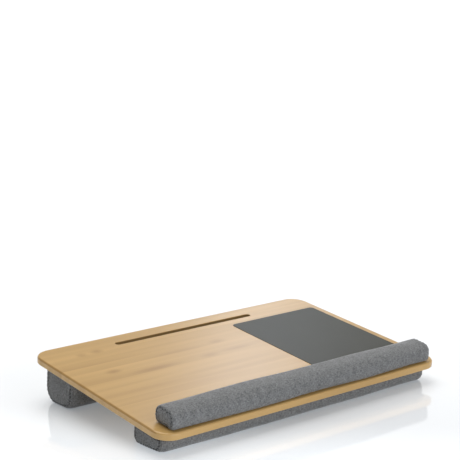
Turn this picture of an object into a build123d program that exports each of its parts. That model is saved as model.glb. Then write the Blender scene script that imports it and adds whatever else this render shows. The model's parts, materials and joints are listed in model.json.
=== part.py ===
from build123d import *
from dataclasses import dataclass
import math
import os

# Lap desk: a bamboo board on two fabric bolsters, with a wrist rest along its front edge.
# Millimetres, +X to the right along the board, +Y to the rear, +Z up, floor at Z = 0.

# Bamboo board, lying higher at the rear
board_length = 550.0
board_width = 350.0
board_thickness = 11.0
board_corner_radius = 28.0
board_top_round = 3.0
board_under_round = 2.0
board_tilt = 6.6
underside_height = 45.0

# Groove for a phone or tablet, near the rear edge
slot_length = 278.0
slot_width = 10.0
slot_depth = 7.0
slot_lip_round = 0.8
slot_setback = 33.0

# Mouse pad, glued into a shallow recess at the right
pad_width = 182.0
pad_depth = 222.0
pad_corner_radius = 7.0
pad_thickness = 1.6
pad_adhesive_thickness = 0.4
pad_recess_depth = 1.4
pad_recess_clearance = 0.3
pad_right_margin = 14.0

# Wrist rest on the board
wrist_rest_end_margin = 18.0
wrist_rest_length = board_length - 2 * wrist_rest_end_margin
wrist_rest_width = 48.0
wrist_rest_side_height = 24.4
wrist_rest_rise = 2.2
wrist_rest_face_round = 12.5
wrist_rest_seat_round = 4.0
wrist_rest_setback = 3.0
wrist_rest_base_width = 28.0
wrist_rest_base_thickness = 1.0
wrist_rest_base_overhang = -16.0
wrist_rest_end_round = 7.0
wrist_rest_end_narrowing = 6.0
wrist_rest_end_lowering = 2.5

# Bolsters under the board
front_bolster_end_margin = 12.5
front_bolster_length = board_length - 2 * front_bolster_end_margin
front_bolster_width = 79.0
front_bolster_face_round = 13.0
front_bolster_setback = 15.0
rear_bolster_end_margin = 16.0
rear_bolster_length = board_length - 2 * rear_bolster_end_margin
rear_bolster_width = 86.0
rear_bolster_face_round = 24.0
rear_bolster_setback = 15.0
bolster_seat_round = 5.0
bolster_base_inset = 5.0
bolster_base_thickness = 2.0
bolster_base_overhang = 4.0
bolster_end_round = 13.0
bolster_end_narrowing = 10.0
bolster_end_lowering = 3.0
floor_flat_depth = 0.5

# Sewing and foam, alike on all three cushions
fabric_thickness = 1.6
foam_clearance = 0.25
side_crown = 0.8
least_round = 1.5
base_corner_radius = 6.0

# Hook-and-loop tape, in strips along each cushion
tape_count = 3
tape_width = 20.0
tape_thickness = 0.6
tape_gap = 55.0
tape_end_margin = 34.0

tilt = math.radians(board_tilt)


@dataclass
class Cushion:
    """A sewn cushion in its own frame: it runs along X and sits on Z = 0, with its show face above."""

    length: float
    width: float
    low_y_height: float
    high_y_height: float
    rise: float
    face_round: float
    seat_round: float
    base_width: float
    base_thickness: float
    base_overhang: float
    end_round: float
    end_narrowing: float
    end_lowering: float


def section(cushion, x, narrowing, inset):
    """Round-cornered outline across the cushion at x, narrower at each side and lower by inset at each face."""
    half = cushion.width / 2 - narrowing
    low_y_top = cushion.low_y_height - inset
    high_y_top = cushion.high_y_height - inset
    seat = Line((-half, inset), (half, inset))
    high_y_side = Line((half, inset), (half, high_y_top))
    low_y_side = Line((-half, low_y_top), (-half, inset))
    show_face = Line((half, high_y_top), (-half, low_y_top))
    if cushion.rise > 0:
        crest = (0, (low_y_top + high_y_top) / 2 + cushion.rise)
        show_face = ThreePointArc((half, high_y_top), crest, (-half, low_y_top))
    outline = make_face([seat, high_y_side, show_face, low_y_side])
    seat_radius = max(cushion.seat_round - inset, least_round)
    side_room = min(low_y_top, high_y_top) - inset - seat_radius - least_round
    face_radius = max(min(cushion.face_round - inset, side_room), least_round)
    face_corners = outline.vertices().sort_by(Axis.Y)[2:]
    outline = fillet(face_corners, face_radius)
    seat_corners = outline.vertices().sort_by(Axis.Y)[:2]
    outline = fillet(seat_corners, seat_radius)
    return Plane.YZ.offset(x) * outline


def straight_length(cushion, inset):
    """The length between the rounded ends, fullest at its middle."""
    start_of_round = cushion.length / 2 - cushion.end_round
    stations = ((-start_of_round, side_crown), (0, 0), (start_of_round, side_crown))
    return loft([section(cushion, x, crown_loss + inset, inset) for x, crown_loss in stations])


def rounded_end(cushion, side, inset):
    """The cover's turn towards an end panel, at the left for side -1 and at the right for side 1."""
    sections = []
    for angle in (0, 30, 60, 90):
        reach = (cushion.end_round - inset) * math.sin(math.radians(angle))
        closing = 1 - math.cos(math.radians(angle))
        x = side * (cushion.length / 2 - cushion.end_round + reach)
        narrowing = side_crown + inset + (cushion.end_narrowing - inset) * closing
        lowering = inset + (cushion.end_lowering - inset) * closing
        sections.append(section(cushion, x, narrowing, lowering))
    return loft(sections)


def form(cushion, inset):
    """The whole cushion, shrunk all round by inset."""
    return straight_length(cushion, inset) + rounded_end(cushion, -1, inset) + rounded_end(cushion, 1, inset)


def end_panel(cushion, side):
    """Flat panel sewn into an end of the cover."""
    x = side * cushion.length / 2 - fabric_thickness * (1 + side) / 2
    rim = section(cushion, x, side_crown + cushion.end_narrowing, cushion.end_lowering)
    return extrude(rim, fabric_thickness)


def cover(cushion):
    shell = form(cushion, 0) - form(cushion, fabric_thickness)
    return shell - end_panel(cushion, -1) - end_panel(cushion, 1)


def base_panel(cushion):
    """Stiff panel that the cushion's seat is fixed to."""
    length = cushion.length + 2 * cushion.base_overhang
    outline = RectangleRounded(length, cushion.base_width, base_corner_radius)
    return Pos(0, 0, -cushion.base_thickness) * extrude(outline, cushion.base_thickness)


def tape_strips(cushion, layer):
    """Tape under the base panel: layer 1 is the loop on the panel, layer 2 the hook on the board."""
    room = cushion.length - 2 * tape_end_margin - (tape_count - 1) * tape_gap
    strip_length = room / tape_count
    pitch = strip_length + tape_gap
    z = -cushion.base_thickness - layer * tape_thickness
    strips = []
    for index in range(tape_count):
        x = (index - (tape_count - 1) / 2) * pitch
        strips.append(Pos(x, 0, z) * extrude(Rectangle(strip_length, tape_width), tape_thickness))
    return Compound(children=strips)


def standoff(base_thickness):
    """Distance from the board's face to a cushion's seat: base panel, loop and hook."""
    return base_thickness + 2 * tape_thickness


def bamboo_board():
    """The board in its own frame, with the middle of its underside at the origin."""
    board = extrude(RectangleRounded(board_length, board_width, board_corner_radius), board_thickness)
    board = fillet(board.faces().sort_by(Axis.Z)[-1].edges(), board_top_round)
    board = fillet(board.faces().sort_by(Axis.Z)[0].edges(), board_under_round)
    slot_floor = board_thickness - slot_depth
    slot = Pos(0, slot_y, slot_floor) * extrude(SlotOverall(slot_length, slot_width), slot_depth)
    board = board - slot
    lip = board.edges().filter_by_position(Axis.Y, slot_y - slot_width / 2, slot_y + slot_width / 2)
    lip = lip.filter_by_position(Axis.Z, board_thickness, board_thickness)
    board = fillet(lip, slot_lip_round)
    recess_outline = RectangleRounded(
        pad_width + 2 * pad_recess_clearance,
        pad_depth + 2 * pad_recess_clearance,
        pad_corner_radius + pad_recess_clearance,
    )
    return board - Pos(pad_x, pad_y, recess_floor) * extrude(recess_outline, pad_recess_depth)


def pad_layer(height, thickness):
    outline = RectangleRounded(pad_width, pad_depth, pad_corner_radius)
    return Pos(pad_x, pad_y, height) * extrude(outline, thickness)


def bolster(y, length, width, face_round):
    """A bolster under the board at y, of the height that the board's slope leaves, pressed on the floor."""
    heights = []
    for edge_y in (y + width / 2, y - width / 2):
        drop = (underside_height + edge_y * math.sin(tilt)) / math.cos(tilt)
        heights.append(drop + floor_flat_depth - standoff(bolster_base_thickness))
    return Cushion(
        length,
        width,
        heights[0],
        heights[1],
        0,
        face_round,
        bolster_seat_round,
        width - 2 * bolster_base_inset,
        bolster_base_thickness,
        bolster_base_overhang,
        bolster_end_round,
        bolster_end_narrowing,
        bolster_end_lowering,
    )


# Places on the board, in the board's own frame
slot_y = board_width / 2 - slot_setback
pad_x = board_length / 2 - pad_right_margin - pad_width / 2
wrist_rest_y = -board_width / 2 + wrist_rest_setback + wrist_rest_width / 2
# The mouse pad lies midway between the wrist rest and the groove
pad_y = (wrist_rest_y + wrist_rest_width / 2 + slot_y - slot_width / 2) / 2
recess_floor = board_thickness - pad_recess_depth
front_bolster_y = -board_width / 2 + front_bolster_setback + front_bolster_width / 2
rear_bolster_y = board_width / 2 - rear_bolster_setback - rear_bolster_width / 2

nodes = {
    "bamboo_board": bamboo_board(),
    "mouse_pad_adhesive": pad_layer(recess_floor, pad_adhesive_thickness),
    "mouse_pad_surface": pad_layer(recess_floor + pad_adhesive_thickness, pad_thickness),
}

wrist_rest = Cushion(
    wrist_rest_length,
    wrist_rest_width,
    wrist_rest_side_height,
    wrist_rest_side_height,
    wrist_rest_rise,
    wrist_rest_face_round,
    wrist_rest_seat_round,
    wrist_rest_base_width,
    wrist_rest_base_thickness,
    wrist_rest_base_overhang,
    wrist_rest_end_round,
    wrist_rest_end_narrowing,
    wrist_rest_end_lowering,
)
under_seat = -standoff(bolster_base_thickness)
over_seat = board_thickness + standoff(wrist_rest_base_thickness)
front_bolster = bolster(
    front_bolster_y, front_bolster_length, front_bolster_width, front_bolster_face_round
)
rear_bolster = bolster(rear_bolster_y, rear_bolster_length, rear_bolster_width, rear_bolster_face_round)
cushions = {
    "wrist_rest": (wrist_rest, Pos(0, wrist_rest_y, over_seat)),
    "front_bolster": (front_bolster, Pos(0, front_bolster_y, under_seat) * Rot(180, 0, 0)),
    "rear_bolster": (rear_bolster, Pos(0, rear_bolster_y, under_seat) * Rot(180, 0, 0)),
}
for name, (cushion, seat) in cushions.items():
    nodes[name + "_cover"] = seat * cover(cushion)
    nodes[name + "_end_panel_left"] = seat * end_panel(cushion, -1)
    nodes[name + "_end_panel_right"] = seat * end_panel(cushion, 1)
    nodes[name + "_foam_core"] = seat * form(cushion, fabric_thickness + foam_clearance)
    nodes[name + "_base_panel"] = seat * base_panel(cushion)
    nodes[name + "_loop_tapes"] = seat * tape_strips(cushion, 1)
    nodes[name + "_hook_tapes"] = seat * tape_strips(cushion, 2)

# The board tilts about its underside's middle, and the part is centred on Y by the board's reach
tilted = Pos(0, 0, underside_height) * Rot(board_tilt, 0, 0)
reach = (tilted * nodes["bamboo_board"]).bounding_box()
on_floor = Pos(0, -(reach.min.Y + reach.max.Y) / 2, 0) * tilted

os.makedirs("parts", exist_ok=True)
for name, solid in nodes.items():
    placed = on_floor * solid
    if placed.bounding_box().min.Z < 0:
        placed = split(placed, Plane.XY, keep=Keep.TOP)
    export_step(placed, f"parts/{name}.step")
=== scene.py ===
import json
import math

import bpy
from mathutils import Matrix, Vector, noise
from mathutils.bvhtree import BVHTree
from mathutils.kdtree import KDTree


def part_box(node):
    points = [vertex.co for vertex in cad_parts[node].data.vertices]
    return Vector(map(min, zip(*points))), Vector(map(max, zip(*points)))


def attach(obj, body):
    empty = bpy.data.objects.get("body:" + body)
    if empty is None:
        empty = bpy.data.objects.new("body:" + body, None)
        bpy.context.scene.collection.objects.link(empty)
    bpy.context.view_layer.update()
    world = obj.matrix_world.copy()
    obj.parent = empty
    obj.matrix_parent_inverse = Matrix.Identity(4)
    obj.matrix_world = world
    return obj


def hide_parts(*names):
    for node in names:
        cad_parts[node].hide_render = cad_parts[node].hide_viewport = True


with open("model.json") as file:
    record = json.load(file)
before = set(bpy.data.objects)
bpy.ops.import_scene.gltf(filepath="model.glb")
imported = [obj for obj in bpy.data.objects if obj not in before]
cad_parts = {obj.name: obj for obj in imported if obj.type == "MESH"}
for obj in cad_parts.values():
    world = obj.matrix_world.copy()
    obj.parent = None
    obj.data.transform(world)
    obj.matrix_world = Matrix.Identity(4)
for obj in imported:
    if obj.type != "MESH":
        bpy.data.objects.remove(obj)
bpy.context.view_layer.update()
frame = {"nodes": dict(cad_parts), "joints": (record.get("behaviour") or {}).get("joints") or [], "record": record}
bpy.context.scene.view_settings.view_transform = "Standard"

# Bamboo board: strips of bamboo glued edge to edge, planed, sanded and finished with a satin lacquer.
# The edges are rounded over, and a groove for a phone and a recess for the mouse pad are routed in.
# The grain runs along the board and darkens in places, at old joints of the stalks. Sizes are in mm.
board_low, board_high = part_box("bamboo_board")
board_middle = (board_low + board_high) / 2
board_up = Vector(next(j["axis"] for j in frame["joints"] if j["child"] == "wrist_rest"))
board_rear = Vector((1, 0, 0)).cross(board_up) * -1
board_slope = math.atan2(-board_up.y, board_up.z)
board_half_length = 275.0
board_half_thickness = 5.5
groove = next(m for m in frame["record"]["mounts"] if m["name"] == "device_groove")
groove_across = (Vector(groove["pos_m"]) - board_middle).dot(board_rear) * 1000
groove_half_width = 5.0
groove_half_length = 139.0
groove_rim_outside = 0.6
groove_rim_inside = 0.3
# the phone groove's walls are tinted darker from 0.2 to 0.6 mm below the top: partly the darker cut wood, partly
# painted shade of the groove
groove_painted_shade_start = 0.2
groove_painted_shade_full = 0.6
groove_painted_shade = 0.6
strip_width = 21.0
strip_offset = 50.0
# each darker place: along and across the board from its middle, half length, share of the darker colour
darker_places = (
    (-205.0, 49.0, 20.0, 0.55),
    (-142.0, 28.0, 62.0, 0.5),
    (-70.0, 67.0, 100.0, 0.3),
    (10.0, 71.0, 26.0, 0.35),
    (-35.0, 29.0, 26.0, 0.3),
    (22.0, 32.0, 45.0, 0.25),
    (-183.0, 130.0, 17.0, 0.5),
    (-212.0, 128.0, 14.0, 0.4),
)
darker_half_width = 11.0
streak_length = 260.0
streak_width = 19.0
grain_length = 150.0
grain_width = 4.0
fibre_length = 60.0
fibre_width = 1.1
strip_weight = 0.14
streak_weight = 0.6
grain_weight = 0.08
fibre_weight = 0.08
darkest_tone = 0.12
palest_tone = 0.78
# the two end faces are darker over their upper 2.6 mm, from the top face down through the rounded arris
end_band_depth = 2.6
end_band_blend = 0.3
end_face_depth = 2.0
end_face_blend = 0.4
end_band_darkening = 0.6
smooth_lacquer = 0.28
rough_lacquer = 0.3


def linear(hex_colour):
    """An sRGB hex colour as the linear RGBA that shaders take."""
    channels = [int(hex_colour[i:i + 2], 16) / 255 for i in (1, 3, 5)]
    return [c / 12.92 if c <= 0.04045 else ((c + 0.055) / 1.055) ** 2.4 for c in channels] + [1.0]


def new_material(name):
    """A material with only its principled shader and output, and that shader."""
    material = bpy.data.materials.new(name)
    material.use_nodes = True
    return material, material.node_tree.nodes["Principled BSDF"]


def add_node(material, kind, inputs, **settings):
    """A shader node of that kind: each input is a value, or the output socket that feeds it."""
    node = material.node_tree.nodes.new("ShaderNode" + kind)
    for name, value in settings.items():
        setattr(node, name, value)
    for socket, value in inputs.items():
        if isinstance(value, bpy.types.NodeSocket):
            material.node_tree.links.new(value, node.inputs[socket])
        else:
            node.inputs[socket].default_value = value
    return node.outputs[0]


def board_millimetres(material):
    """Coordinates along, across and through the board, in millimetres from its middle."""
    level = Matrix.Rotation(-board_slope, 3, "X")
    place = add_node(material, "TexCoord", {})
    return add_node(
        material,
        "Mapping",
        {
            "Vector": place.node.outputs["Object"],
            "Location": -(level @ board_middle) * 1000,
            "Rotation": (-board_slope, 0, 0),
            "Scale": (1000, 1000, 1000),
        },
    )


def dress(node, material):
    """Gives a construction node its finished material."""
    frame["nodes"][node].data.materials.clear()
    frame["nodes"][node].data.materials.append(material)


def lacquered_bamboo():
    """Carbonised bamboo under satin lacquer: honey-coloured strips, long soft streaks and fine fibres."""
    material, shader = new_material("lacquered_bamboo")
    place = board_millimetres(material)
    parts = add_node(material, "SeparateXYZ", {0: place}).node.outputs
    along, across, height = parts["X"], parts["Y"], parts["Z"]
    strip = add_node(material, "Math", {0: across, 1: strip_width}, operation="DIVIDE")
    strip = add_node(material, "Math", {0: strip}, operation="FLOOR")
    strip_tone = add_node(material, "TexWhiteNoise", {"W": strip}, noise_dimensions="1D")
    strip_shift = add_node(material, "CombineXYZ", {"Z": strip_tone})
    strip_shift = add_node(material, "VectorMath", {0: strip_shift, "Scale": strip_offset}, operation="SCALE")
    streak_scale = (1 / streak_length, 1 / streak_width, 0)
    streak_place = add_node(
        material, "VectorMath", {0: place, 1: streak_scale, 2: strip_shift}, operation="MULTIPLY_ADD"
    )
    streaks = add_node(material, "TexNoise", {"Vector": streak_place, "Scale": 1.0, "Detail": 0.5})
    grain_scale = (1 / grain_length, 1 / grain_width, 1 / grain_width)
    grain_place = add_node(material, "VectorMath", {0: place, 1: grain_scale}, operation="MULTIPLY")
    grain = add_node(material, "TexNoise", {"Vector": grain_place, "Scale": 1.0, "Detail": 2.0})
    fibre_scale = (1 / fibre_length, 1 / fibre_width, 1 / fibre_width)
    fibre_place = add_node(material, "VectorMath", {0: place, 1: fibre_scale}, operation="MULTIPLY")
    fibres = add_node(material, "TexNoise", {"Vector": fibre_place, "Scale": 1.0, "Detail": 3.0})
    tone = add_node(material, "Math", {0: strip_tone, 1: strip_weight}, operation="MULTIPLY")
    tone = add_node(material, "Math", {0: streaks, 1: streak_weight, 2: tone}, operation="MULTIPLY_ADD")
    tone = add_node(material, "Math", {0: grain, 1: grain_weight, 2: tone}, operation="MULTIPLY_ADD")
    tone = add_node(material, "Math", {0: fibres, 1: fibre_weight, 2: tone}, operation="MULTIPLY_ADD")
    tone = add_node(material, "MapRange", {0: tone, 1: darkest_tone, 2: palest_tone, 3: 0.0, 4: 1.0})
    colour = add_node(
        material, "MixRGB", {"Fac": tone, "Color1": linear("#ac8850"), "Color2": linear("#caa568")}
    )
    for place_along, place_across, half_length, share in darker_places:
        middle = (place_along, place_across, 0)
        off = add_node(material, "VectorMath", {0: place, 1: middle}, operation="SUBTRACT")
        shape = (1 / half_length, 1 / darker_half_width, 0)
        off = add_node(material, "VectorMath", {0: off, 1: shape}, operation="MULTIPLY")
        off = add_node(material, "VectorMath", {0: off}, operation="LENGTH").node.outputs["Value"]
        dark = add_node(
            material, "MapRange", {0: off, 1: 0.0, 2: 1.0, 3: share, 4: 0.0}, interpolation_type="SMOOTHSTEP"
        )
        colour = add_node(
            material, "MixRGB", {"Fac": dark, "Color1": colour, "Color2": linear("#8f6936")}
        )
    # Darker band over the upper 2.6 mm of each end face, down through the rounded arris.
    end_band_bottom = board_half_thickness - end_band_depth
    upper_end_band = add_node(
        material, "MapRange", {0: height, 1: end_band_bottom - end_band_blend, 2: end_band_bottom + end_band_blend, 3: 0.0, 4: 1.0}
    )
    off_middle = add_node(material, "Math", {0: along}, operation="ABSOLUTE")
    end_start = board_half_length - end_face_depth
    end = add_node(
        material,
        "MapRange",
        {0: off_middle, 1: end_start - end_face_blend, 2: end_start + end_face_blend, 3: 0.0, 4: 1.0},
    )
    darker_end_band = add_node(material, "Math", {0: end, 1: upper_end_band}, operation="MULTIPLY")
    darker_end_band = add_node(material, "Math", {0: darker_end_band, 1: end_band_darkening}, operation="MULTIPLY")
    colour = add_node(
        material, "MixRGB", {"Fac": darker_end_band, "Color1": colour, "Color2": linear("#8a6531")}
    )
    # Groove walls tinted grey-brown: partly the darker cut wood, partly painted shade where the groove lies in
    # shadow.
    from_groove = add_node(material, "Math", {0: across, 1: groove_across}, operation="SUBTRACT")
    from_groove = add_node(material, "Math", {0: from_groove}, operation="ABSOLUTE")
    rim_outside = groove_half_width + groove_rim_outside
    rim_inside = groove_half_width + groove_rim_inside
    groove_cut_and_shade = add_node(
        material, "MapRange", {0: from_groove, 1: rim_outside, 2: rim_inside, 3: 0.0, 4: 1.0}
    )
    shade_start = board_half_thickness - groove_painted_shade_start
    shade_full = board_half_thickness - groove_painted_shade_full
    below_top = add_node(
        material, "MapRange", {0: height, 1: shade_start, 2: shade_full, 3: 0.0, 4: groove_painted_shade}
    )
    end_outside = groove_half_length + groove_rim_outside
    end_inside = groove_half_length + groove_rim_inside
    within_length = add_node(
        material, "MapRange", {0: off_middle, 1: end_outside, 2: end_inside, 3: 0.0, 4: 1.0}
    )
    for mask in (below_top, within_length):
        groove_cut_and_shade = add_node(material, "Math", {0: groove_cut_and_shade, 1: mask}, operation="MULTIPLY")
    colour = add_node(
        material, "MixRGB", {"Fac": groove_cut_and_shade, "Color1": colour, "Color2": linear("#4d4134")}
    )
    material.node_tree.links.new(colour, shader.inputs["Base Color"])
    gloss = add_node(
        material, "MapRange", {0: fibres, 1: 0.3, 2: 0.7, 3: smooth_lacquer, 4: rough_lacquer}
    )
    material.node_tree.links.new(gloss, shader.inputs["Roughness"])
    relief = add_node(material, "Bump", {"Height": fibres, "Strength": 0.02, "Distance": 0.0002})
    material.node_tree.links.new(relief, shader.inputs["Normal"])
    shader.inputs["IOR"].default_value = 1.5
    return material


dress("bamboo_board", lacquered_bamboo())

# Mouse pad: a thin sheet of coated leather cloth, die-cut with round corners and glued into its recess.
# A clear double-sided adhesive film lies under it.
pebble_size = 1.6
cloud_size = 50.0
unevenness_size = 10.0


def coated_leather():
    """Dark grey polyurethane leather with a fine pebble, pressed in, and a soft satin surface."""
    material, shader = new_material("coated_leather")
    place = board_millimetres(material)
    pebbles = add_node(material, "TexVoronoi", {"Vector": place, "Scale": 1 / pebble_size})
    cloud_place = add_node(
        material, "VectorMath", {0: place, 1: (1 / cloud_size,) * 3}, operation="MULTIPLY"
    )
    cloud = add_node(material, "TexNoise", {"Vector": cloud_place, "Scale": 1.0, "Detail": 4.0})
    colour = add_node(
        material, "MixRGB", {"Fac": cloud, "Color1": linear("#2f2e21"), "Color2": linear("#373629")}
    )
    material.node_tree.links.new(colour, shader.inputs["Base Color"])
    relief = add_node(material, "Bump", {"Height": pebbles, "Strength": 0.25, "Distance": 0.0002})
    material.node_tree.links.new(relief, shader.inputs["Normal"])
    shader.inputs["Roughness"].default_value = 0.42
    shader.inputs["Specular IOR Level"].default_value = 0.28
    return material


def adhesive_film():
    """Milky acrylic adhesive, slightly uneven where it was rolled down."""
    material, shader = new_material("adhesive_film")
    place = board_millimetres(material)
    unevenness_place = add_node(
        material, "VectorMath", {0: place, 1: (1 / unevenness_size,) * 3}, operation="MULTIPLY"
    )
    unevenness = add_node(material, "TexNoise", {"Vector": unevenness_place, "Scale": 1.0})
    colour = add_node(
        material, "MixRGB", {"Fac": unevenness, "Color1": linear("#d2cfc2"), "Color2": linear("#e6e3d8")}
    )
    material.node_tree.links.new(colour, shader.inputs["Base Color"])
    shader.inputs["Roughness"].default_value = 0.35
    return material


dress("mouse_pad_surface", coated_leather())
dress("mouse_pad_adhesive", adhesive_film())

# Hook-and-loop tape: strips of black nylon, hooks glued to the board and loops to each cushion's panel.
# The hooks stand in rows on a woven ground, and the loops are a brushed pile.
hook_spacing = 1.6
pile_size = 1.2


def hook_tape():
    """Black nylon ground with rows of stiff moulded hooks, which glint a little."""
    material, shader = new_material("nylon_hook_tape")
    place = board_millimetres(material)
    hooks = add_node(
        material, "TexVoronoi", {"Vector": place, "Scale": 1 / hook_spacing, "Randomness": 0.25}
    )
    colour = add_node(
        material, "MixRGB", {"Fac": hooks, "Color1": linear("#3a3a3b"), "Color2": linear("#121213")}
    )
    material.node_tree.links.new(colour, shader.inputs["Base Color"])
    relief = add_node(material, "Bump", {"Height": hooks, "Strength": 0.9, "Distance": -0.0006})
    material.node_tree.links.new(relief, shader.inputs["Normal"])
    shader.inputs["Roughness"].default_value = 0.42
    return material


def loop_tape():
    """Black nylon pile, brushed into a soft tangle of loops that catches light at its edges."""
    material, shader = new_material("nylon_loop_tape")
    place = board_millimetres(material)
    pile_place = add_node(
        material, "VectorMath", {0: place, 1: (1 / pile_size,) * 3}, operation="MULTIPLY"
    )
    pile = add_node(
        material, "TexNoise", {"Vector": pile_place, "Scale": 1.0, "Detail": 3.0, "Distortion": 2.0}
    )
    colour = add_node(
        material, "MixRGB", {"Fac": pile, "Color1": linear("#0d0d0e"), "Color2": linear("#313133")}
    )
    material.node_tree.links.new(colour, shader.inputs["Base Color"])
    relief = add_node(material, "Bump", {"Height": pile, "Strength": 0.9, "Distance": 0.0007})
    material.node_tree.links.new(relief, shader.inputs["Normal"])
    shader.inputs["Roughness"].default_value = 0.95
    shader.inputs["Sheen Weight"].default_value = 0.4
    return material


hooks_on_board = hook_tape()
loops_on_panels = loop_tape()
for body in ("wrist_rest", "front_bolster", "rear_bolster"):
    dress(body + "_hook_tapes", hooks_on_board)
    dress(body + "_loop_tapes", loops_on_panels)

# Base panels: thin stiff boards that each cushion's seat is glued to, so that the tape has a flat ground.
# They are pressed fibre board, stained black, with a faint felt of fibres on their faces.
fibre_speckle = 3.0


def black_fibre_board():
    """Pressed fibre board stained black: dull, with flecks of paler fibre."""
    material, shader = new_material("black_fibre_board")
    place = board_millimetres(material)
    speckle_place = add_node(
        material, "VectorMath", {0: place, 1: (1 / fibre_speckle,) * 3}, operation="MULTIPLY"
    )
    speckle = add_node(material, "TexNoise", {"Vector": speckle_place, "Scale": 1.0, "Detail": 5.0})
    colour = add_node(
        material, "MixRGB", {"Fac": speckle, "Color1": linear("#1d1d1e"), "Color2": linear("#3d3d3c")}
    )
    material.node_tree.links.new(colour, shader.inputs["Base Color"])
    relief = add_node(material, "Bump", {"Height": speckle, "Strength": 0.3, "Distance": 0.0003})
    material.node_tree.links.new(relief, shader.inputs["Normal"])
    shader.inputs["Roughness"].default_value = 0.8
    return material


panel_board = black_fibre_board()
for body in ("wrist_rest", "front_bolster", "rear_bolster"):
    dress(body + "_base_panel", panel_board)

# Wrist rest: a foam bar in a tube of heathered grey cloth, with a flat panel sewn in at each end.
# The cloth is drawn tight over the foam and pulled in along the end seams, and hangs to the board.
# Sizes of its form are in metres, and those of its weave in millimetres.
remesh_size = 0.003
swell_frames = 20
fabric_pressure = 4.0
least_fill = 0.0015
most_fill = 0.0026
end_reach = 0.016
seam_spacing = 0.001
seam_depth = 0.0016
seam_half_width = 0.0015
seam_ridge = 0.0005
seam_ridge_place = 0.0036
pucker_depth = 0.0004
pucker_length = 0.0062
pucker_reach = 0.006
panel_bulge = 0.0012
panel_bulge_reach = 0.009
unevenness_depth = 0.0011
unevenness_length = 0.11
ripple_depth = 0.0003
ripple_length = 0.032
hang_reach = 0.008
hang_clearance = 0.0003
wrist_rest_hang = 0.0019
end_rim_depth = 0.0001
end_facing = 0.75
fleck_length = 4.2
fleck_width = 1.2
blotch_length = 9.0
blotch_width = 16.0
blotch_weight = 0.4
darkest_fleck = 0.85
palest_fleck = 1.55


def pull_axis(body):
    """The direction in which that cushion comes off the board."""
    return Vector(next(j["axis"] for j in frame["joints"] if j["child"] == body))


class Section:
    """A cushion's cross-section: its middle, half sizes, seat and ends, for places round its outline."""

    def __init__(self, body):
        core = [v.co for v in frame["nodes"][body + "_foam_core"].data.vertices]
        panel = [v.co for v in frame["nodes"][body + "_base_panel"].data.vertices]
        tapes = [v.co for v in frame["nodes"][body + "_hook_tapes"].data.vertices]
        self.out = pull_axis(body)
        across = [p.dot(board_rear) for p in core]
        outward = [p.dot(self.out) for p in core]
        panel_across = [p.dot(board_rear) for p in panel]
        self.middle = ((min(across) + max(across)) / 2, (min(outward) + max(outward)) / 2)
        self.half = ((max(across) - min(across)) / 2, (max(outward) - min(outward)) / 2)
        self.panel_half = (max(p.x for p in panel), (max(panel_across) - min(panel_across)) / 2)
        self.seat = max(p.dot(self.out) for p in panel)
        self.board_face = min(p.dot(self.out) for p in tapes)
        self.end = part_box(body + "_cover")[1].x

    def around(self, point):
        """Distance round the outline from the middle of the seat, in metres."""
        wide, tall = self.half
        y = (point.dot(board_rear) - self.middle[0]) / wide
        z = (point.dot(self.out) - self.middle[1]) / tall
        if -z >= abs(y):
            return y * wide if y >= 0 else 4 * (wide + tall) + y * wide
        if y >= abs(z):
            return wide + (1 + z) * tall
        if z >= abs(y):
            return wide + 2 * tall + (1 - y) * wide
        return 3 * wide + 2 * tall + (1 - z) * tall

    def hung(self, point, hang):
        """The point, sunk by up to hang near the seat, and held clear of panel, board and floor."""
        off_middle = abs(point.dot(board_rear) - self.middle[0])
        level = self.seat
        if abs(point.x) > self.panel_half[0] or off_middle > self.panel_half[1]:
            level = self.board_face + hang_clearance
            near_seat = min(max(1 - (point.dot(self.out) - self.seat) / hang_reach, 0.0), 1.0)
            point = point - self.out * hang * near_seat * near_seat * (3 - 2 * near_seat)
        point = point + self.out * max(level - point.dot(self.out), 0.0)
        return Vector((point.x, point.y, max(point.z, 0.0)))


def apply_modifier(piece, name, kind, **settings):
    """Adds a modifier to the active piece and applies it."""
    modifier = piece.modifiers.new(name, kind)
    for setting, value in settings.items():
        setattr(modifier, setting, value)
    bpy.ops.object.modifier_apply(modifier=modifier.name)


def swollen_form(body):
    """The foam core's form, filled out by its cover as far as the cloth stands off the foam."""
    bpy.ops.object.select_all(action="DESELECT")
    core = frame["nodes"][body + "_foam_core"]
    cushion = bpy.data.objects.new(body + "_cushion", core.data.copy())
    bpy.context.scene.collection.objects.link(cushion)
    bpy.context.view_layer.objects.active = cushion
    cushion.select_set(True)
    bpy.ops.object.mode_set(mode="EDIT")
    bpy.ops.mesh.select_all(action="SELECT")
    bpy.ops.mesh.remove_doubles(threshold=0.00001)
    bpy.ops.object.mode_set(mode="OBJECT")
    apply_modifier(cushion, "even_faces", "REMESH", mode="VOXEL", voxel_size=remesh_size)
    foam = [(v.co.copy(), v.normal.copy()) for v in cushion.data.vertices]
    cloth = cushion.modifiers.new("cover_under_pressure", "CLOTH")
    cloth.settings.use_pressure = True
    cloth.settings.uniform_pressure_force = fabric_pressure
    cloth.settings.effector_weights.gravity = 0
    for step in range(1, swell_frames + 1):
        bpy.context.scene.frame_set(step)
    bpy.ops.object.modifier_apply(modifier=cloth.name)
    for vertex, (start, outward) in zip(cushion.data.vertices, foam):
        fill = (vertex.co - start).dot(outward)
        vertex.co = start + outward * min(max(fill, least_fill), most_fill)
    apply_modifier(cushion, "finer_faces", "SUBSURF", levels=1, render_levels=1)
    return cushion


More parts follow.
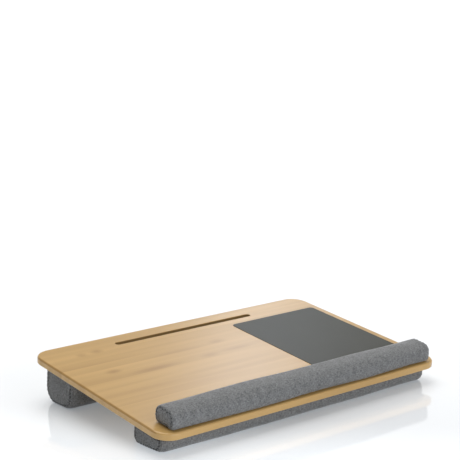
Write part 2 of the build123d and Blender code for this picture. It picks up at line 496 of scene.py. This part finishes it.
def seam_line(body, cushion, section, side):
    """Points along the seam of one end panel, evenly spaced on the cloth and in order round the cushion."""
    panel = frame["nodes"][body + ("_end_panel_right" if side > 0 else "_end_panel_left")]
    rim = [v.co.copy() for v in panel.data.vertices if v.co.x * side > section.end - end_rim_depth]
    rim.sort(key=section.around)
    cloth = BVHTree.FromPolygons(
        [v.co for v in cushion.data.vertices], [p.vertices for p in cushion.data.polygons]
    )
    points = []
    left_over = 0.0
    for before, after in zip(rim, rim[1:] + rim[:1]):
        length = (after - before).length
        while left_over < length:
            points.append(cloth.find_nearest(before.lerp(after, left_over / length))[0])
            left_over += seam_spacing
        left_over -= length
    return points


def sew_ends(body, cushion, section, hang):
    """Draws the cloth in along both end seams, with the puckers that the stitches leave."""
    bpy.ops.object.mode_set(mode="EDIT")
    bpy.ops.mesh.select_mode(type="FACE")
    bpy.ops.mesh.select_all(action="DESELECT")
    bpy.ops.object.mode_set(mode="OBJECT")
    for polygon in cushion.data.polygons:
        polygon.select = abs(polygon.center.x) > section.end - end_reach
    bpy.ops.object.mode_set(mode="EDIT")
    bpy.ops.mesh.subdivide(number_cuts=1)
    bpy.ops.object.mode_set(mode="OBJECT")
    seams = seam_line(body, cushion, section, -1) + seam_line(body, cushion, section, 1)
    near_seam = KDTree(len(seams))
    for index, point in enumerate(seams):
        near_seam.insert(point, index)
    near_seam.balance()
    outward = [v.normal.copy() for v in cushion.data.vertices]
    for vertex, normal in zip(cushion.data.vertices, outward):
        place, from_seam = near_seam.find(vertex.co)[1:]
        lift = unevenness_depth * noise.noise(vertex.co / unevenness_length)
        lift += ripple_depth * noise.noise(vertex.co / ripple_length)
        lift += seam_ridge * math.exp(-(((from_seam - seam_ridge_place) / seam_half_width) ** 2))
        lift -= seam_depth * math.exp(-((from_seam / seam_half_width) ** 2))
        pucker = math.sin(2 * math.pi * place * seam_spacing / pucker_length)
        lift += pucker_depth * pucker * math.exp(-from_seam / pucker_reach)
        if abs(normal.x) > end_facing:
            lift += panel_bulge * (1 - math.exp(-((from_seam / panel_bulge_reach) ** 2)))
        vertex.co = section.hung(vertex.co + normal * lift, hang)


def lay_weave(cushion, section):
    """A map of the cloth in millimetres: along and round the tube, and square across each end panel."""
    weave = cushion.data.uv_layers.new(name="weave")
    for polygon in cushion.data.polygons:
        on_end = abs(polygon.normal.x) > end_facing
        for loop in polygon.loop_indices:
            point = cushion.data.vertices[cushion.data.loops[loop].vertex_index].co
            place = (point.x, section.around(point))
            if on_end:
                place = (point.dot(board_rear), point.dot(section.out))
            weave.data[loop].uv = (place[0] * 1000, place[1] * 1000)


def sewn_cushion(body, fabric, hang):
    """The finished cushion, which stands for its foam, cover and end panels, and its cross-section."""
    section = Section(body)
    cushion = swollen_form(body)
    sew_ends(body, cushion, section, hang)
    lay_weave(cushion, section)
    bpy.ops.object.shade_smooth()
    cushion.data.materials.clear()
    cushion.data.materials.append(fabric)
    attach(cushion, body)
    sewn_from = ("_cover", "_end_panel_left", "_end_panel_right", "_foam_core")
    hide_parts(*[body + piece for piece in sewn_from])
    return cushion, section


def heathered_cloth():
    """Woven polyester of mixed grey yarns, shown as the flecks that several yarns make together."""
    material, shader = new_material("heathered_cloth")
    weave = add_node(material, "UVMap", {}, uv_map="weave")
    warp_scale = (1 / fleck_length, 1 / fleck_width, 1)
    weft_scale = (1 / fleck_width, 1 / fleck_length, 1)
    blotch_scale = (1 / blotch_length, 1 / blotch_width, 1)
    patterns = []
    for scale in (warp_scale, weft_scale, blotch_scale):
        place = add_node(material, "VectorMath", {0: weave, 1: scale}, operation="MULTIPLY")
        settings = {"Vector": place, "Scale": 1.0, "Detail": 2.0}
        patterns.append(add_node(material, "TexNoise", settings, noise_dimensions="2D"))
    warp, weft, blotch = patterns
    flecks = add_node(material, "Math", {0: warp, 1: weft}, operation="ADD")
    tone = add_node(
        material, "Math", {0: blotch, 1: blotch_weight, 2: flecks}, operation="MULTIPLY_ADD"
    )
    tone = add_node(
        material, "MapRange", {0: tone, 1: darkest_fleck, 2: palest_fleck, 3: 0.0, 4: 1.0}
    )
    colour = add_node(
        material, "MixRGB", {"Fac": tone, "Color1": linear("#575858"), "Color2": linear("#868788")}
    )
    material.node_tree.links.new(colour, shader.inputs["Base Color"])
    relief = add_node(material, "Bump", {"Height": flecks, "Strength": 0.3, "Distance": 0.0005})
    material.node_tree.links.new(relief, shader.inputs["Normal"])
    shader.inputs["Roughness"].default_value = 0.95
    shader.inputs["Specular IOR Level"].default_value = 0.2
    shader.inputs["Sheen Weight"].default_value = 0.5
    shader.inputs["Sheen Roughness"].default_value = 0.35
    return material


cloth_grey = heathered_cloth()
wrist_rest, wrist_section = sewn_cushion("wrist_rest", cloth_grey, wrist_rest_hang)

# Bolsters: two larger bars of the same foam and cloth under the board, low at the front and tall at the rear.
# They stand flat on the floor, and their seats are glued to their panels and hang no lower.
bolster_hang = 0.0
front_bolster, front_section = sewn_cushion("front_bolster", cloth_grey, bolster_hang)
rear_bolster, rear_section = sewn_cushion("rear_bolster", cloth_grey, bolster_hang)

# Seam stitching: a dark thread sewn round each end of each cushion, where end panel and tube meet.
# It shows as short stitches that sink into the cloth.
stitch_pitch = 0.006
stitch_length = 0.004
stitch_thickness = 0.0014
seat_clearance = 0.004
floor_clearance = 0.002
twists_per_metre = 900.0


def thread():
    """Dark grey twisted polyester thread with a slight gleam."""
    material, shader = new_material("sewing_thread")
    place = add_node(material, "TexCoord", {})
    twist_place = place.node.outputs["Object"]
    twist = add_node(
        material, "TexNoise", {"Vector": twist_place, "Scale": twists_per_metre, "Detail": 2.0}
    )
    colour = add_node(
        material, "MixRGB", {"Fac": twist, "Color1": linear("#1f2021"), "Color2": linear("#38393b")}
    )
    material.node_tree.links.new(colour, shader.inputs["Base Color"])
    shader.inputs["Roughness"].default_value = 0.6
    return material


def stitching(body, cushion, section, material):
    """A row of stitches along both end seams, left out where the cushion is seated or stands."""
    bpy.ops.object.select_all(action="DESELECT")
    bpy.ops.mesh.primitive_uv_sphere_add(segments=6, ring_count=5, radius=1.0)
    bead = bpy.context.active_object
    bead_points = [v.co.copy() for v in bead.data.vertices]
    bead_faces = [list(p.vertices) for p in bead.data.polygons]
    bead_half_size = Vector((stitch_thickness / 2, stitch_thickness / 2, stitch_length / 2))
    stride = round(stitch_pitch / seam_spacing)
    points = []
    faces = []
    for side in (-1, 1):
        seam = seam_line(body, cushion, section, side)
        for here, after in zip(seam[::stride], seam[1::stride]):
            if here.dot(section.out) < section.seat + seat_clearance or here.z < floor_clearance:
                continue
            turn = (after - here).to_track_quat("Z", "X").to_matrix()
            first = len(points)
            points += [here + turn @ (p * bead_half_size) for p in bead_points]
            faces += [[first + i for i in face] for face in bead_faces]
    bpy.data.objects.remove(bead)
    mesh = bpy.data.meshes.new(body + "_end_stitching")
    mesh.from_pydata(points, [], faces)
    piece = bpy.data.objects.new(body + "_end_stitching", mesh)
    bpy.context.scene.collection.objects.link(piece)
    piece.data.materials.append(material)
    piece.data.shade_smooth()
    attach(piece, body)


dark_thread = thread()
stitching("wrist_rest", wrist_rest, wrist_section, dark_thread)
stitching("front_bolster", front_bolster, front_section, dark_thread)
stitching("rear_bolster", rear_bolster, rear_section, dark_thread)

# Studio: a glossy white floor that mirrors the desk softly, a pale surround and soft boxes.
# The floor glows evenly, and a painted pool of light makes it glow brighter ahead of the desk and to its left. The
# surround is bright at the horizon and overhead, and dim between, as a room with a lit sweep and ceiling.
floor_size = 200.0
floor_drop = 0.0004
painted_light_side = (-0.75, -0.66, 0.0)
painted_light_start = 0.1
painted_light_full = 0.3
floor_glow = 0.2
painted_light_glow = 0.39
horizon_top = 0.24
wall_start = 0.46
horizon_glow = 1.1
wall_glow = 0.25
ceiling_start = 0.6
ceiling_full = 0.8
ceiling_glow = 0.4
left_edge = -0.8
right_edge = 0.3
left_share = 0.5
soft_box_distance = 6.0
bpy.ops.object.select_all(action="DESELECT")
bpy.ops.mesh.primitive_plane_add(size=floor_size, location=(0, 0, -floor_drop))
floor = bpy.context.active_object
floor.name = "floor"
gloss_white, gloss_shader = new_material("glossy_white_floor")
gloss_shader.inputs["Base Color"].default_value = linear("#dcdddf")
gloss_shader.inputs["Roughness"].default_value = 0.06
gloss_shader.inputs["IOR"].default_value = 2.3
gloss_shader.inputs["Emission Color"].default_value = linear("#f0f8ff")
floor_place = add_node(gloss_white, "TexCoord", {}).node.outputs["Object"]
# Painted light: the floor's emission rises from an even glow to a brighter one ahead of the desk and to its left.
ahead_of_desk = add_node(
    gloss_white, "VectorMath", {0: floor_place, 1: painted_light_side}, operation="DOT_PRODUCT"
).node.outputs["Value"]
painted_floor_glow = add_node(
    gloss_white,
    "MapRange",
    {0: ahead_of_desk, 1: painted_light_start, 2: painted_light_full, 3: floor_glow, 4: painted_light_glow},
    interpolation_type="SMOOTHSTEP",
)
gloss_white.node_tree.links.new(painted_floor_glow, gloss_shader.inputs["Emission Strength"])
floor.data.materials.append(gloss_white)

surround = bpy.data.worlds.new("white_surround")
surround.use_nodes = True
sky = surround.node_tree.nodes["Background"]
sky.inputs["Color"].default_value = linear("#ffffff")
direction = add_node(surround, "TexCoord", {})
towards = add_node(surround, "SeparateXYZ", {0: direction}).node.outputs
rise = towards["Z"]
horizon = add_node(
    surround,
    "MapRange",
    {0: rise, 1: horizon_top, 2: wall_start, 3: horizon_glow, 4: wall_glow},
    interpolation_type="SMOOTHSTEP",
)
ceiling = add_node(
    surround,
    "MapRange",
    {0: rise, 1: ceiling_start, 2: ceiling_full, 3: 0.0, 4: ceiling_glow},
    interpolation_type="SMOOTHSTEP",
)
left_shade = add_node(
    surround, "MapRange", {0: towards["X"], 1: left_edge, 2: right_edge, 3: left_share, 4: 1.0}
)
horizon = add_node(surround, "Math", {0: horizon, 1: left_shade}, operation="MULTIPLY")
brightness = add_node(surround, "Math", {0: horizon, 1: ceiling}, operation="ADD")
surround.node_tree.links.new(brightness, sky.inputs["Strength"])
bpy.context.scene.world = surround


def soft_box(name, azimuth, elevation, size, power, colour):
    """A soft box aimed at the desk from afar, at degrees round from the rear towards the right, and up."""
    turn, rise = math.radians(azimuth), math.radians(elevation)
    away = Vector((math.sin(turn) * math.cos(rise), math.cos(turn) * math.cos(rise), math.sin(rise)))
    light = bpy.data.lights.new(name, "AREA")
    light.shape = "RECTANGLE"
    light.size, light.size_y = size
    light.energy = power
    light.color = linear(colour)[:3]
    lamp = bpy.data.objects.new(name, light)
    lamp.location = away * soft_box_distance
    lamp.rotation_euler = away.to_track_quat("Z", "Y").to_euler()
    bpy.context.scene.collection.objects.link(lamp)


soft_box("rear_box", 44.2, 40.0, (0.72, 3.4), 35.0, "#e6efff")
soft_box("overhead_box", 0.0, 78.0, (5.0, 4.0), 208.0, "#fffdf8")
soft_box("front_box", 172.0, 20.0, (4.0, 2.0), 96.0, "#f8fbff")

# Camera: a long lens a little above the desk, in front of its left corner.
camera_yaw = math.radians(-38.80)
camera_pitch = math.radians(11.01)
camera_roll = math.radians(-0.59)
camera_distance = 2.04232
camera_right = -0.015011
camera_above = 0.255085
camera_aim = Vector((0, -0.00068, 0))
image_pixels = 460
focal_pixels = 1285.28
ahead = Vector(
    (
        -math.sin(camera_yaw) * math.cos(camera_pitch),
        math.cos(camera_yaw) * math.cos(camera_pitch),
        -math.sin(camera_pitch),
    )
)
level_right = Vector((math.cos(camera_yaw), math.sin(camera_yaw), 0))
level_up = level_right.cross(ahead)
right = level_right * math.cos(camera_roll) + level_up * math.sin(camera_roll)
up = level_up * math.cos(camera_roll) - level_right * math.sin(camera_roll)
camera_data = bpy.data.cameras.new("camera")
camera_data.sensor_width = 36.0
camera_data.lens = focal_pixels * camera_data.sensor_width / image_pixels
camera = bpy.data.objects.new("camera", camera_data)
stand = camera_aim - ahead * camera_distance + right * camera_right + up * camera_above
camera.matrix_world = Matrix.Translation(stand) @ Matrix((right, up, -ahead)).transposed().to_4x4()
bpy.context.scene.collection.objects.link(camera)
bpy.context.scene.camera = camera
